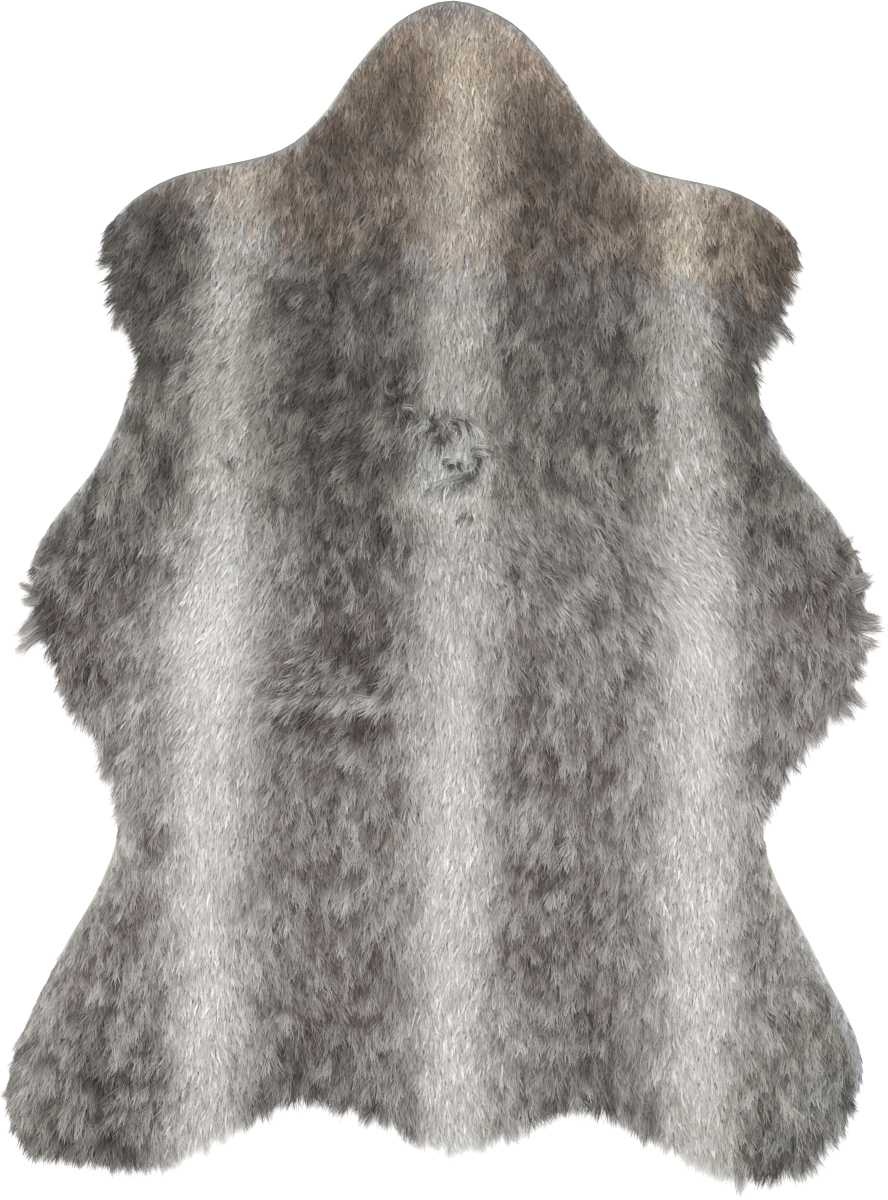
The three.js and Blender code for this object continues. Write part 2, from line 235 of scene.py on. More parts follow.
# Paler and darker places: place, x, y, wide, long, change of tone. Some carry painted shade, in the belly's
# fold line and hollows, the foreleg's creases and the hind foot's gaps, and a painted highlight on the
# belly's ridges
PATCHES = [
    ("right of head", 86, 524, 28, 28, 0.05),
    ("left neck", -80, 470, 45, 45, -0.06),
    ("right temple", 92, 478, 24, 26, -0.035),
    ("right neck", 105, 430, 50, 55, -0.045),
    ("left shoulder", -300, 322, 50, 65, -0.08),
    ("right shoulder", 320, 350, 40, 50, -0.015),
    ("left fore back", -84, 270, 50, 50, -0.055),
    ("right fore back", 77, 220, 12, 24, 0.085),
    ("left saddle", -110, 180, 56, 56, -0.045),
    ("right saddle", 140, 120, 50, 50, 0.09),
    ("right saddle top", 106, 172, 16, 28, -0.065),
    ("right ribs", 350, 105, 35, 50, 0.04),
    ("left ribs", -315, 120, 35, 40, 0.085),
    ("left flank", -355, 0, 40, 60, -0.06),
    ("right flank", 346, 26, 40, 40, -0.045),
    ("right collar", 206, 350, 28, 40, -0.05),
    ("left belly", -92, -34, 42, 18, -0.125),
    ("left belly", -96, -60, 46, 22, -0.12),
    ("left of belly", -162, -45, 26, 26, 0.10),
    # The belly's fold: painted shade along its line and in the hollows below it, a painted highlight on its
    # ridge
    ("left belly fold line", -100, -86, 42, 4, -0.13),
    ("left belly fold", -110, -98, 48, 6, 0.1),
    ("left belly hollow", -84, -120, 20, 9, -0.14),
    ("left belly hollow", -144, -115, 18, 9, -0.15),
    ("left belly hollow", -110, -126, 38, 11, -0.15),
    ("left belly streak", -153, -68, 14, 8, -0.05),
    ("left belly streak", -171, -84, 11, 7, -0.03),
    # Painted shade in a hollow of the belly, and a painted highlight on its ridge
    ("right belly hollow", 92, 14, 14, 22, -0.025),
    ("right belly ridge", 132, -46, 30, 18, 0.03),
    ("right belly", 130, -30, 70, 60, 0.02),
    ("left loin", -315, -185, 45, 110, 0.045),
    ("right loin", 320, -165, 45, 110, 0.01),
    ("left hem", -120, -490, 34, 16, -0.07),
    ("right thigh", 356, -330, 28, 40, 0.055),
    ("left hind back", -118, -400, 44, 90, -0.055),
    ("right hind back", 126, -400, 50, 90, -0.045),
    ("right rump", 118, -165, 34, 66, -0.035),
    ("left hind foot", -325, -505, 60, 52, -0.06),
    ("left hock", -392, -440, 26, 56, 0.065),
    ("left of hind foot", -405, -500, 20, 26, 0.05),
    ("right of stripe", 310, -275, 16, 115, -0.06),
    ("right sole", 300, -562, 45, 24, -0.13),
    ("right hem", 150, -478, 26, 44, -0.045),
    ("right hind foot", 356, -476, 27, 42, 0.075),
    ("right hock edge", 390, -414, 13, 26, -0.08),
    ("right of swirl", 152, 158, 20, 26, -0.055),
    ("right of swirl", 54, 168, 12, 30, -0.11),
    ("left of swirl", -56, 212, 26, 24, -0.09),
    ("swirl", 14, 148, 24, 30, 0.13),
    ("below swirl", -6, 98, 18, 22, 0.12),
    ("left belly top", -92, 82, 30, 38, -0.11),
    ("right belly top", 48, 50, 20, 42, 0.09),
    ("right belly top", 120, 20, 16, 30, 0.06),
    ("right belly", 94, -20, 20, 20, 0.075),
    ("right of spine", 58, -124, 16, 42, -0.09),
    ("right of spine", 88, -200, 20, 26, 0.07),
    ("right of spine", 78, -455, 26, 44, 0.085),
    ("left of spine", -40, -82, 18, 25, 0.05),
    ("left of spine", -120, -338, 32, 40, 0.05),
    ("left of belly top", -144, 96, 24, 36, 0.1),
    ("left flank", -298, -28, 21, 30, 0.12),
    ("left flank edge", -394, -22, 18, 26, -0.05),
    ("right flank end", 376, -82, 22, 26, 0.05),
    ("right shoulder edge", 346, 334, 18, 26, -0.10),
    ("right of head", 58, 574, 16, 14, 0.085),
    ("left neck end", -64, 420, 19, 24, 0.10),
    ("right cheek", 118, 514, 16, 26, 0.05),
    ("left fore back", -132, 274, 20, 32, -0.04),
    ("right foreleg crook", 314, 218, 16, 30, -0.10),
    ("right of fore stripe", 280, 258, 15, 36, -0.11),
    ("left belly side", -168, 38, 20, 30, 0.04),
    ("right belly side", 198, 38, 24, 26, 0.05),
    ("right belly side", 166, -20, 22, 26, -0.04),
    ("left loin side", -152, -142, 24, 24, 0.05),
    ("right loin side", 174, -270, 20, 80, 0.055),
    ("left of hind stripe", -291, -350, 18, 80, -0.065),
    ("left of spine", -60, -146, 22, 26, 0.075),
    ("right loin top", 152, -82, 20, 24, 0.05),
    ("right of fore spine", 58, 338, 14, 26, -0.04),
    ("right of fore spine", 52, 256, 11, 50, -0.10),
    ("left foreleg crook", -280, 216, 26, 26, 0.04),
    ("left ribs", -296, 156, 16, 22, -0.065),
    # Painted shade in the foreleg's creases
    ("left foreleg crease", -286, 250, 22, 4, -0.09),
    ("left foreleg crease", -246, 243, 18, 4, -0.08),
    # Painted shade in the gaps between the hind foot's tufts
    ("left hind foot gap", -341, -470, 14, 5, -0.16),
    ("left hind foot gap", -322, -475, 10, 5, -0.15),
    ("left hind foot gap", -289, -475, 14, 5, -0.14),
    ("left hind foot gap", -344, -489, 7, 6, -0.09),
    ("left hind foot gap", -302, -503, 8, 7, -0.09),
    ("left hind foot gap", -330, -530, 7, 9, -0.09),
    ("left hind foot tuft", -321, -489, 7, 8, 0.09),
    ("left hind foot tuft", -314, -513, 8, 10, 0.09),
    ("left hind foot tuft", -386, -476, 10, 9, 0.07),
    ("left hind foot tuft", -356, -486, 7, 7, 0.08),
    ("left hind foot tuft", -284, -488, 10, 8, 0.06),
    ("left hind foot tuft", -346, -542, 7, 8, 0.07),
]
# Locks that stand out of the coat: width, strands, tone at root and tip, height at root and middle,
# then points from root to tip
# The near-black locks among the pale ones stand for dark roots and for painted shade in the gaps between the
# locks
SWIRL_LOCKS = [
    (26, 36, 0.38, 0.60, 6, 12, [(-3, 175), (-6, 160), (-10, 144)]),
    (6.5, 11, 0.38, 0.59, 8, 15, [(-10, 168), (-19, 155), (-23, 134)]),
    (5.2, 10, 0.36, 0.60, 8, 15, [(-8, 165), (-14, 151), (-17, 133)]),
    (5.2, 10, 0.34, 0.60, 8, 15, [(-5, 162), (-8, 147), (-11, 130)]),
    (5.2, 10, 0.33, 0.60, 8, 15, [(-1, 160), (-1, 147), (-4, 133)]),
    (5.2, 10, 0.36, 0.60, 8, 15, [(2, 165), (7, 155), (5, 142)]),
    (5.2, 10, 0.36, 0.60, 8, 15, [(4, 169), (12, 161), (14, 148)]),
    (2.6, 8, 0.13, 0.19, 8, 16, [(-3, 172), (-16, 168), (-25, 157)]),
    (2.0, 6, 0.15, 0.22, 8, 16, [(-5, 168), (-12, 155), (-15, 143)]),
    (3.0, 9, 0.13, 0.19, 8, 16, [(-3, 168), (-4, 154), (-6, 141)]),
    (2.0, 6, 0.15, 0.22, 8, 16, [(0, 167), (1, 155), (0, 146)]),
    (2.0, 6, 0.15, 0.24, 8, 16, [(1, 170), (5, 161), (7, 151)]),
    (2.6, 7, 0.15, 0.23, 8, 15, [(-15, 183), (-9, 176), (-3, 171)]),
    (3.9, 9, 0.38, 0.58, 8, 15, [(-8, 183), (1, 176), (3, 168)]),
    (20, 30, 0.38, 0.60, 6, 12, [(5, 183), (20, 178), (29, 164), (28, 148)]),
    (3.9, 11, 0.13, 0.18, 8, 16, [(6, 181), (14, 174), (17, 165), (15, 156)]),
    (7.8, 25, 0.46, 0.68, 8, 16, [(8, 182), (18, 177), (23, 166), (21, 155), (16, 145)]),
    (3.9, 15, 0.13, 0.20, 8, 16, [(12, 182), (22, 177), (27, 168), (28, 157)]),
    (2.6, 8, 0.45, 0.62, 9, 17, [(8, 186), (19, 183), (29, 181)]),
    (5.2, 15, 0.45, 0.65, 8, 16, [(18, 183), (29, 176), (36, 163), (37, 150)]),
    (6.5, 18, 0.41, 0.59, 8, 16, [(21, 182), (32, 174), (41, 163), (45, 152)]),
    (2.6, 8, 0.35, 0.59, 9, 17, [(26, 149), (35, 154), (46, 151)]),
    (2.6, 8, 0.35, 0.59, 9, 17, [(28, 143), (38, 147), (48, 142)]),
    (2.6, 6, 0.34, 0.58, 9, 17, [(30, 156), (38, 150), (43, 141)]),
    (6.5, 24, 0.15, 0.24, 8, 15, [(35, 144), (33, 130), (21, 120), (7, 115)]),
    (1.5, 4, 0.36, 0.56, 9, 16, [(25, 138), (32, 128), (35, 114)]),
    (1.5, 5, 0.42, 0.62, 9, 17, [(33, 142), (29, 129), (18, 118)]),
    (1.5, 5, 0.42, 0.62, 9, 17, [(21, 138), (28, 132), (30, 120)]),
    (5.2, 18, 0.42, 0.62, 8, 16, [(-3, 133), (2, 139), (11, 141), (19, 136)]),
    (3.9, 11, 0.39, 0.60, 8, 16, [(14, 140), (21, 134), (21, 124)]),
    (2.4, 9, 0.13, 0.20, 8, 16, [(12, 138), (17, 131), (15, 123)]),
    (3.9, 10, 0.39, 0.60, 8, 16, [(11, 135), (13, 128), (9, 121)]),
    (2.8, 9, 0.13, 0.19, 7, 14, [(6, 137), (8, 131), (6, 126)]),
    (5.2, 16, 0.42, 0.61, 9, 17, [(27, 129), (18, 122), (4, 120), (-9, 114), (-18, 104)]),
    (34, 44, 0.44, 0.68, 6, 12, [(14, 118), (10, 105), (6, 88)]),
    (7.8, 15, 0.44, 0.68, 8, 15, [(32, 121), (34, 109), (32, 95)]),
    (7.8, 15, 0.45, 0.69, 8, 15, [(24, 117), (24, 104), (21, 90)]),
    (7.8, 15, 0.45, 0.69, 8, 15, [(15, 116), (12, 101), (8, 87)]),
    (7.8, 15, 0.45, 0.69, 8, 15, [(6, 116), (2, 102), (-2, 88)]),
    (7.8, 15, 0.45, 0.67, 8, 15, [(-2, 116), (-8, 104), (-12, 90)]),
    (7.8, 12, 0.44, 0.65, 8, 15, [(-10, 113), (-16, 102), (-19, 90)]),
    (2, 5, 0.28, 0.44, 9, 16, [(-1, 117), (-3, 106), (-4, 96)]),
    (2, 5, 0.28, 0.44, 9, 16, [(11, 117), (9, 107), (8, 99)]),
    (2, 5, 0.28, 0.44, 9, 16, [(-13, 113), (-18, 104), (-21, 97)]),
    (2, 5, 0.28, 0.44, 9, 16, [(19, 118), (20, 107), (19, 100)]),
    (2.6, 8, 0.22, 0.34, 9, 15, [(23, 88), (17, 81), (12, 73)]),
    (2, 5, 0.22, 0.34, 9, 15, [(27, 87), (26, 79), (23, 73)]),
    (2, 5, 0.22, 0.34, 9, 15, [(18, 86), (14, 79), (11, 74)]),
    (3.9, 10, 0.29, 0.43, 8, 15, [(-55, 221), (-59, 212), (-55, 205), (-47, 204)]),
    (2.6, 8, 0.30, 0.44, 8, 15, [(-46, 221), (-43, 214), (-46, 207)]),
    (3.9, 10, 0.31, 0.47, 8, 15, [(-62, 206), (-68, 200), (-67, 191)]),
    (5.2, 11, 0.13, 0.18, 8, 15, [(-60, 207), (-52, 199), (-47, 190)]),
    (3.9, 10, 0.30, 0.45, 8, 15, [(-47, 189), (-59, 187), (-73, 190)]),
    (3.9, 10, 0.16, 0.23, 8, 14, [(-48, 185), (-60, 184), (-73, 184)]),
    (3.9, 10, 0.30, 0.45, 8, 15, [(-46, 182), (-59, 181), (-73, 178)]),
    (5.2, 16, 0.34, 0.53, 9, 16, [(-46, 186), (-41, 193), (-32, 192), (-25, 185)]),
    (6.5, 12, 0.33, 0.55, 8, 15, [(-25, 179), (-35, 171), (-44, 159)]),
    (3.9, 10, 0.33, 0.55, 8, 15, [(-22, 176), (-30, 165), (-36, 152)]),
]
RIM_LOCKS = [
    (12, 45, 0.34, 0.50, 6, 12, [(398, 8), (418, 13), (432, 22)]),
    (8, 30, 0.36, 0.54, 6, 11, [(400, 18), (418, 22), (430, 29)]),
    (14, 55, 0.30, 0.46, 6, 12, [(398, -12), (420, -17), (440, -21)]),
    (10, 40, 0.32, 0.50, 6, 11, [(400, -24), (422, -28), (443, -30)]),
    (14, 50, 0.34, 0.54, 6, 11, [(398, -34), (420, -41), (439, -48)]),
    (14, 45, 0.36, 0.54, 5, 10, [(390, -56), (408, -66), (425, -81)]),
    (14, 45, 0.36, 0.54, 5, 10, [(390, -82), (408, -95), (425, -111)]),
    (12, 40, 0.38, 0.54, 5, 10, [(382, -92), (398, -106), (412, -123)]),
    (5, 18, 0.34, 0.42, 5, 10, [(392, 48), (402, 55), (411, 66)]),
    (5, 18, 0.32, 0.42, 5, 10, [(394, 42), (406, 49), (419, 49)]),
    (10, 40, 0.36, 0.52, 6, 11, [(-398, 6), (-414, 12), (-428, 18)]),
    (14, 50, 0.36, 0.54, 6, 11, [(-396, 2), (-412, 0), (-425, -2)]),
    (14, 55, 0.32, 0.54, 6, 11, [(-394, -8), (-412, -22), (-428, -41)]),
    (12, 45, 0.32, 0.54, 6, 11, [(-396, -28), (-414, -40), (-431, -55)]),
    (5, 10, 0.40, 0.54, 5, 9, [(-398, 24), (-407, 32), (-414, 41)]),
    (11, 36, 0.28, 0.38, 5, 10, [(326, 284), (341, 268), (352, 253)]),
    (11, 40, 0.28, 0.40, 5, 10, [(-318, 304), (-325, 285), (-332, 265)]),
    (14, 50, 0.34, 0.46, 5, 10, [(-406, -468), (-426, -484), (-444, -501)]),
    (12, 40, 0.50, 0.66, 5, 10, [(293, -558), (296, -580), (297, -599)]),
]
# The hem is cut short here
CUT_SHORT = [
    ("left sole", -378, -560, 60, 30, 1.0),
    ("left foreleg crook", -315, 252, 22, 26, 0.7),
]
SWIRL_PLACE = [("swirl", 10, 142, 30, 36, 1.0)]
# The fur stands higher on the belly's fold and lower beside it: place, x, y, wide, long, share
FOLDS = [
    ("fold line", -96, -84, 48, 4, -0.35),
    ("fold ridge", -102, -97, 46, 8, 0.2),
    ("fold hollow", -106, -116, 50, 9, -0.3),
]
# Places of a warmer or cooler grey: place, x, y, wide, long, change
HUES = [
    ("top of head", 10, 598, 70, 14, -0.4),
    ("right hind leg", 370, -440, 60, 100, -0.35),
    ("swirl", 4, 126, 28, 42, -0.18),
]
# Where the brown of the head end stops, from left to right: x, y
BROWN_ENDS = [
    (-340, 388), (-219, 380), (-144, 352), (-64, 344), (10, 328), (60, 328), (120, 328), (210, 318),
    (280, 308), (400, 292),
]
# Where the brown of the head end is weaker
COOL_BROWN = [("left shoulder", -325, 370, 50, 50, -0.6)]
# Small hollows where the fur parts, darkened with painted shade: x, y, radius
HOLLOWS = [
    (-48, 222, 5), (-54, 203, 4), (-37, 186, 4), (-30, 187, 4), (-10, 189, 4), (3, 189, 4),
    (-3, 173, 6), (34, 147, 5), (28, 128, 5), (7, 136, 4), (-212, 140, 5), (-218, 240, 4),
    (-219, 268, 3), (268, 355, 5), (206, 196, 6),
]


def smoothstep(low, high, value):
    share = np.clip((value - low) / (high - low), 0.0, 1.0)
    return share * share * (3.0 - 2.0 * share)


def read_off(rows, at):
    """The value at a place between rows of place and value."""
    return np.interp(at, *np.array(rows, float).T)


def bumps(rows, x, y):
    """The sum of soft round bumps, one to a row of place, x, y, wide, long, height."""
    total = np.zeros_like(x)
    for _, at_x, at_y, wide, long, height in rows:
        total += height * np.exp(-(((x - at_x) / wide) ** 2 + ((y - at_y) / long) ** 2) / 2)
    return total


def lattice(x, y, size, seed):
    """Smooth seeded unevenness from -1 to 1, lumps of about the given size."""
    rng = np.random.default_rng(seed)
    cells = rng.uniform(-1.0, 1.0, (64, 64))
    u, v = x / size + 32.0, y / size + 32.0
    i, j = np.floor(u).astype(int), np.floor(v).astype(int)
    fu, fv = smoothstep(0, 1, u - i), smoothstep(0, 1, v - j)
    i, j, right, up = i % 63, j % 63, (i + 1) % 63, (j + 1) % 63
    near = cells[i, j] * (1 - fu) + cells[right, j] * fu
    far = cells[i, up] * (1 - fu) + cells[right, up] * fu
    return near * (1 - fv) + far * fv


def ripples(rows, x, y):
    """The sum of seeded unevenness, one to a row of height, size across, stretch lengthways, seed."""
    return sum(height * lattice(x, y / long, size, SEED + seed) for height, size, long, seed in rows)


def lay_of_fur(x, y):
    """Unit vectors along which the fur lies."""
    turn = np.radians(bumps(LAY_TURNS, x, y) + ripples(LAY_RIPPLES, x, y))
    return np.stack([np.sin(turn), -np.cos(turn)], -1)


def hollows(x, y):
    return bumps([("hollow", at_x, at_y, radius, radius, 1.0) for at_x, at_y, radius in HOLLOWS], x, y)


def stripe(tone, x, y, rows):
    ys, xs, halves, pales = np.array(rows).T
    away = (x - np.interp(y, ys, xs)) / np.interp(y, ys, halves)
    share = np.exp(-(np.abs(away) ** STRIPE_SHOULDER) / 2)
    return tone + (np.interp(y, ys, pales) - tone) * share


def edge_bands(y, inset, lean):
    """Shares of the thin bands of roots: along edges that the fur lies beside, and that it lies away from."""
    beside = smoothstep(1.0, 0.2, inset / read_off(SIDE_BAND, y))
    beside = beside * smoothstep(-0.75, -0.45, lean) * smoothstep(0.15, -0.1, lean)
    away = smoothstep(ROOT_BAND, 1.0, inset) * smoothstep(-0.45, -0.75, lean)
    return beside, away


def tone_of_fur(x, y, inset, lean):
    tone = read_off(GROUND, y) + bumps(PATCHES, x, y)
    for rows in (LEFT_STRIPE, SPINE_STRIPE, RIGHT_STRIPE):
        tone = stripe(tone, x, y, rows)
    tone += read_off(STREAK_STRENGTH, y) * (1.0 - tone) ** 2 * ripples(TONE_RIPPLES, x, y)
    beside, away = edge_bands(y, inset, lean)
    tone += read_off(SIDE_SHARE, y) * beside * (SIDE_TONE - tone) + ROOT_SHARE * away * (ROOT_TONE - tone)
    # The hollows where the fur parts are darkened with painted shade
    return tone - HOLLOW_PAINTED_SHADE * hollows(x, y)


def warmth_of_fur(x, y, inset, lean):
    past_end = y - read_off(BROWN_ENDS, x) + ripples(BROWN_FINGERS, x, y)
    head = smoothstep(-BROWN_BLEND, BROWN_BLEND, past_end) * (1.0 + bumps(COOL_BROWN, x, y))
    rear = smoothstep(150.0, -20.0, y) * (1.0 - 0.7 * smoothstep(-400.0, -520.0, y))
    beside, away = edge_bands(y, inset, lean)
    cooler = SIDE_COOLNESS * beside + ROOT_COOLNESS * away
    grey = bumps(HUES, x, y) - cooler + GREY_WARMTH + REAR_WARMTH * rear
    nose, right = smoothstep(440.0, 540.0, y), smoothstep(150.0, 300.0, x)
    return grey + head * (BROWN_WARMTH + NOSE_WARMTH * nose + RIGHT_SHOULDER_WARMTH * right)


def outline_points():
    """The fur's outline as one smooth closed curve through the landmarks."""
    marks = np.array([row[1:] for row in OUTLINE], float)
    before, after, beyond = np.roll(marks, 1, 0), np.roll(marks, -1, 0), np.roll(marks, -2, 0)
    d0, d1, d2 = (
        np.sqrt(np.linalg.norm(b - a, axis=1))[:, None]
        for a, b in ((before, marks), (marks, after), (after, beyond))
    )
    leave = d1 * ((marks - before) / d0 - (after - before) / (d0 + d1) + (after - marks) / d1)
    arrive = d1 * ((after - marks) / d1 - (beyond - marks) / (d1 + d2) + (beyond - after) / d2)
    t = np.linspace(0, 1, STRETCH_POINTS, endpoint=False)[None, :, None]
    m, a, s, e = marks[:, None], after[:, None], leave[:, None], arrive[:, None]
    curve = (
        (2 * t**3 - 3 * t**2 + 1) * m
        + (t**3 - 2 * t**2 + t) * s
        + (3 * t**2 - 2 * t**3) * a
        + (t**3 - t**2) * e
    )
    return curve.reshape(-1, 2)


def outward_normals(ring):
    way = np.roll(ring, -1, 0) - np.roll(ring, 1, 0)
    normal = np.stack([-way[:, 1], way[:, 0]], -1)
    return normal / np.linalg.norm(normal, axis=1, keepdims=True)


def cloth_outline(ring, bare):
    """The cut edge of the cloth, inside the fur's outline where the fur lies past it.

    Where the fur lies away from the edge, the line moves in by the bare width.
    """
    normal = outward_normals(ring)
    lean = np.sum(normal * lay_of_fur(ring[:, 0], ring[:, 1]), -1)
    cut = np.clip(bumps(CUT_SHORT, ring[:, 0], ring[:, 1]), 0.0, 1.0)
    past = CLOTH_INSET * smoothstep(-0.1, 0.9, lean) * (1.0 - CLOTH_CUT_SHARE * cut)
    return ring - normal * (past + bare * smoothstep(-0.05, -0.4, lean))[:, None]


def stretch(ring, start, end):
    names = [row[0] for row in OUTLINE]
    first, last = names.index(start) * STRETCH_POINTS, names.index(end) * STRETCH_POINTS
    count = (last - first) % len(ring)
    return ring[(first + np.arange(count + 1)) % len(ring)]


def run_of(path):
    """Distance along a path at each of its points."""
    return np.concatenate([[0.0], np.cumsum(np.linalg.norm(np.diff(path, axis=0), axis=1))])


def spaced(path, count):
    run = run_of(path)
    at = np.linspace(0, run[-1], count)
    return np.stack([np.interp(at, run, path[:, k]) for k in (0, 1)], -1)


def hide_grid(ring):
    """Rows of points from head to tail that fill the outline."""
    head = spaced(stretch(ring, "left shoulder", "right shoulder"), GRID_ACROSS)
    tail = spaced(stretch(ring, "right hind foot", "left hind foot")[::-1], GRID_ACROSS)
    right = spaced(stretch(ring, "right shoulder", "right hind foot"), GRID_ALONG)
    left = spaced(stretch(ring, "left hind foot", "left shoulder")[::-1], GRID_ALONG)
    u = np.linspace(0, 1, GRID_ACROSS)[None, :, None]
    v = np.linspace(0, 1, GRID_ALONG)[:, None, None]
    lengthways = (1 - v) * head[None] + v * tail[None]
    sideways = (1 - u) * left[:, None] + u * right[:, None]
    corners = (1 - v) * ((1 - u) * head[0] + u * head[-1]) + v * ((1 - u) * tail[0] + u * tail[-1])
    return lengthways + sideways - corners


def grid_faces(rows, columns):
    a = (np.arange(rows - 1)[:, None] * columns + np.arange(columns - 1)[None]).ravel()
    return np.stack([a, a + columns, a + columns + 1, a + 1], -1)


def rim_loop(rows, columns):
    """Indices round the grid's outside, counter-clockwise from above."""
    index = np.arange(rows * columns).reshape(rows, columns)
    return np.concatenate([index[:-1, 0], index[-1, :-1], index[:0:-1, -1], index[0, :0:-1]])


def new_mesh(name, points, faces):
    mesh = bpy.data.meshes.new(name)
    mesh.from_pydata(points.tolist(), [], [list(map(int, face)) for face in faces])
    mesh.update()
    return mesh


def in_scene(name, data):
    thing = bpy.data.objects.new(name, data)
    bpy.context.scene.collection.objects.link(thing)
    return thing


def put(mesh, name, values, kind="FLOAT"):
    layer = mesh.attributes.new(name, kind, "POINT")
    field = "value" if kind == "FLOAT" else "vector"
    layer.data.foreach_set(field, np.ascontiguousarray(values, np.float32).ravel())


ring = outline_points()
edge = cloth_outline(ring, 0.0)
cloth_grid = hide_grid(edge)[::CLOTH_STEP, ::CLOTH_STEP]
flat = hide_grid(cloth_outline(ring, BARE_EDGE)).reshape(-1, 2)


def edge_distance(points):
    """Distance from the fur's outline, and how far the nearest edge faces along the lay."""
    normal = outward_normals(ring)
    inset, lean = np.zeros(len(points)), np.zeros(len(points))
    lay = lay_of_fur(points[:, 0], points[:, 1])
    for start in range(0, len(points), 2000):
        part = slice(start, start + 2000)
        gap = np.linalg.norm(points[part, None] - ring[None], axis=2)
        nearest = gap.argmin(1)
        inset[part] = gap.min(1)
        lean[part] = np.sum(normal[nearest] * lay[part], -1)
    return inset, lean


def fur_ground():
    """The upper face of the cloth with all that the pile follows: lay, tone, warmth, length and lift."""
    points = np.column_stack([flat, np.full(len(flat), CLOTH_THICK)]) * MM
    mesh = new_mesh("fur_ground", points, grid_faces(GRID_ALONG, GRID_ACROSS))
    x, y = flat.T
    inset, lean = edge_distance(flat)
    lay = lay_of_fur(x, y)
    tone = tone_of_fur(x, y, inset, lean)
    hollow, swirl = hollows(x, y), bumps(SWIRL_PLACE, x, y)
    cut_short = np.clip(bumps(CUT_SHORT, x, y), 0.0, 1.0)
    free = smoothstep(0.0, 0.7, lean) * smoothstep(42.0, 14.0, inset) * (1.0 - 0.9 * cut_short)
    cut_edge = smoothstep(14.0, 0.0, inset) * smoothstep(0.05, -0.4, lean)
    reach = 1.0 + FREE_LONGER * free - CUT_SHORTER * cut_edge + ripples(REACH_RIPPLES, x, y)
    reach = reach - HOLLOW_SHORTER * hollow - SWIRL_SHORTER * swirl
    rim = np.sin(np.clip(inset / RIM_REACH, 0, 1) * math.pi / 2)
    lift = (RIM_LIFT + (1.0 - RIM_LIFT) * rim) * (1.0 - HOLLOW_LOWER * np.clip(hollow, 0, 1))
    put(mesh, "lay", np.column_stack([lay, np.zeros(len(lay))]), "FLOAT_VECTOR")
    put(mesh, "tone", tone)
    put(mesh, "mix", np.clip(MIX_FULL - MIX_FALL * tone, 0.0, 1.0) * read_off(MIX_STRENGTH, y))
    put(mesh, "warmth", warmth_of_fur(x, y, inset, lean))
    put(mesh, "free", free)
    put(mesh, "reach", reach)
    put(mesh, "lift", lift * (1.0 + bumps(FOLDS, x, y)) * (1.0 - SWIRL_LOWER * swirl))
    return mesh


def cloth_piece():
    """The cloth itself: thin, closed all round, lying on the floor."""
    rows, columns = cloth_grid.shape[:2]
    count = rows * columns
    rim = rim_loop(rows, columns)
    top = np.column_stack([cloth_grid.reshape(-1, 2), np.full(count, CLOTH_THICK)])
    bottom = top * (1.0, 1.0, 0.0)
    faces = grid_faces(rows, columns)
    following = np.roll(rim, -1)
    wall = np.stack([rim + count, following + count, following, rim], -1)
    under = faces[:, ::-1] + count
    mesh = new_mesh("hide_cloth", np.concatenate([top, bottom]) * MM, [*faces, *under, *wall])
    inset, lean = edge_distance(top[:, :2])
    # The cloth takes the fur's tone, its painted shade in hollows, creases and gaps included
    tone = tone_of_fur(top[:, 0], top[:, 1], inset, lean)
    rim_tone = read_off([(-0.75, CUT_TONE), (-0.45, SIDE_TONE)], lean)
    tone += smoothstep(8.0, 2.0, inset) * (rim_tone - tone)
    put(mesh, "tone", np.concatenate([tone, np.full(count, UNDERSIDE_TONE)]))
    return in_scene("hide_cloth", mesh)


class Flow:
    """What one socket of a node tree gives, with sums and products as further nodes."""

    def __init__(self, nodes, socket):
        self.nodes, self.socket = nodes, socket

    def __add__(self, other):
        return self.nodes.calc("ADD", self, other)

    def __sub__(self, other):
        return self.nodes.calc("SUBTRACT", self, other)

    def __rsub__(self, other):
        return self.nodes.calc("SUBTRACT", other, self)

    def __mul__(self, other):
        return self.nodes.calc("MULTIPLY", self, other)

    def __truediv__(self, other):
        return self.nodes.calc("DIVIDE", self, other)

    def __rtruediv__(self, other):
        return self.nodes.calc("DIVIDE", other, self)

    def held(self, low, high):
        return self.nodes.calc("MINIMUM", self.nodes.calc("MAXIMUM", self, low), high)

    def parts(self):
        """The three numbers of a vector."""
        node = self.nodes.add("ShaderNodeSeparateXYZ", {0: self})
        return [Flow(self.nodes, socket) for socket in node.outputs]


class Nodes:
    """Short ways to set out and join nodes in one tree."""

    def __init__(self, tree):
        self.tree = tree

    def add(self, kind, inputs=None, **settings):
        node = self.tree.nodes.new(kind)
        for name, value in settings.items():
            setattr(node, name, value)
        for name, value in (inputs or {}).items():
            self.feed(node.inputs[name], value)
        return node

    def feed(self, socket, value):
        if isinstance(value, Flow):
            value = value.socket
        if isinstance(value, bpy.types.NodeSocket):
            self.tree.links.new(value, socket)
        else:
            socket.default_value = value

    def flow(self, node, name):
        return Flow(self, node.outputs[name])

    def calc(self, operation, *values, clamp=False):
        node = self.add("ShaderNodeMath", dict(enumerate(values)), operation=operation, use_clamp=clamp)
        return self.flow(node, 0)

    def vector(self, operation, *values, out="Vector"):
        names = (0, "Scale") if operation == "SCALE" else range(len(values))
        node = self.add("ShaderNodeVectorMath", dict(zip(names, values)), operation=operation)
        return self.flow(node, out)

    def joined(self, x, y):
        return self.flow(self.add("ShaderNodeCombineXYZ", {"X": x, "Y": y}), 0)


